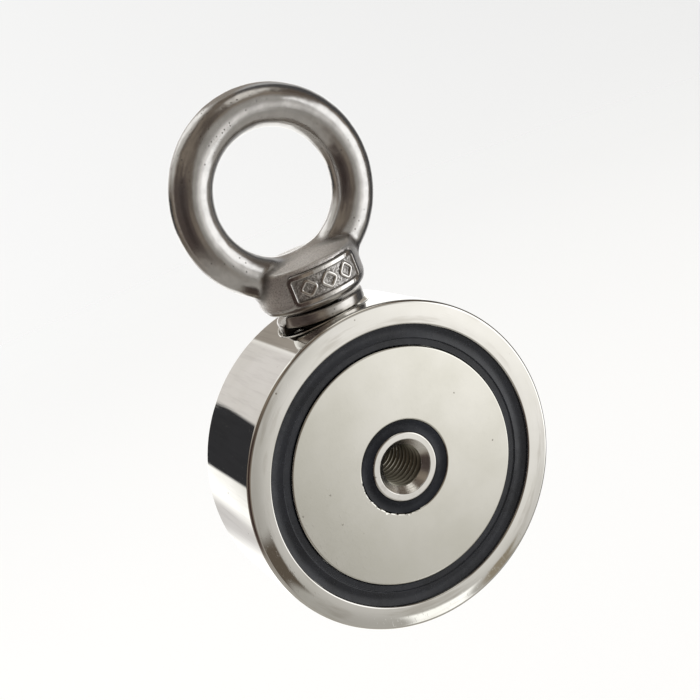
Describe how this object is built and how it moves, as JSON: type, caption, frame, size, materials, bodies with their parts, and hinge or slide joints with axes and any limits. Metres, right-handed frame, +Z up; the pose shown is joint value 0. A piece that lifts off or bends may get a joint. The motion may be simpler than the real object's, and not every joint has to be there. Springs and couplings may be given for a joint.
{
  "type": "magnet fishing magnet",
  "caption": "Round double-sided magnet in a nickel-plated steel pot, with a threaded hole through its hub and a screw-in lifting eyebolt in its wall.",
  "frame": {"origin": "centre of the eye's bore, where a rope or carabiner holds the magnet up", "axes": "+Z up along the eyebolt, +Y along the pot's axis towards its back face, +X to the right seen from the front face"},
  "size_m": [0.067, 0.025, 0.1134],
  "materials": {
    "cast_stainless": "satin, tumbled casting",
    "spring_steel": "satin",
    "nickel_plated_steel": "mirror polished nickel plate",
    "nickel_plated_magnet": "bright nickel plate",
    "black_epoxy": "glossy, poured",
    "clear_glue": "cured amber glue"
  },
  "bodies": {
    "eyebolt": {"eyebolt": "cast_stainless"},
    "spring_washer": {"spring_washer": "spring_steel"},
    "magnet": {"steel_pot": "nickel_plated_steel", "front_magnet": "nickel_plated_magnet", "back_magnet": "nickel_plated_magnet", "front_outer_potting_ring": "black_epoxy", "back_outer_potting_ring": "black_epoxy", "front_inner_potting_ring": "black_epoxy", "back_inner_potting_ring": "black_epoxy", "front_magnet_glue": "clear_glue", "back_magnet_glue": "clear_glue"}
  },
  "joints": [
    {"name": "unscrew_travel", "type": "slide", "parent": "eyebolt", "child": "spring_washer", "axis": [0, 0, -1], "range_m": [0, 0.0135]},
    {"name": "unscrew_turn", "type": "hinge", "parent": "spring_washer", "child": "magnet", "pos_m": [0, 0, -0.0589], "axis": [0, 0, -1], "range_deg": [0, 3240]}
  ],
  "couplings": [
    {"joint": "unscrew_travel", "follows": "unscrew_turn", "m_per_rad": 0.00023873}
  ]
}
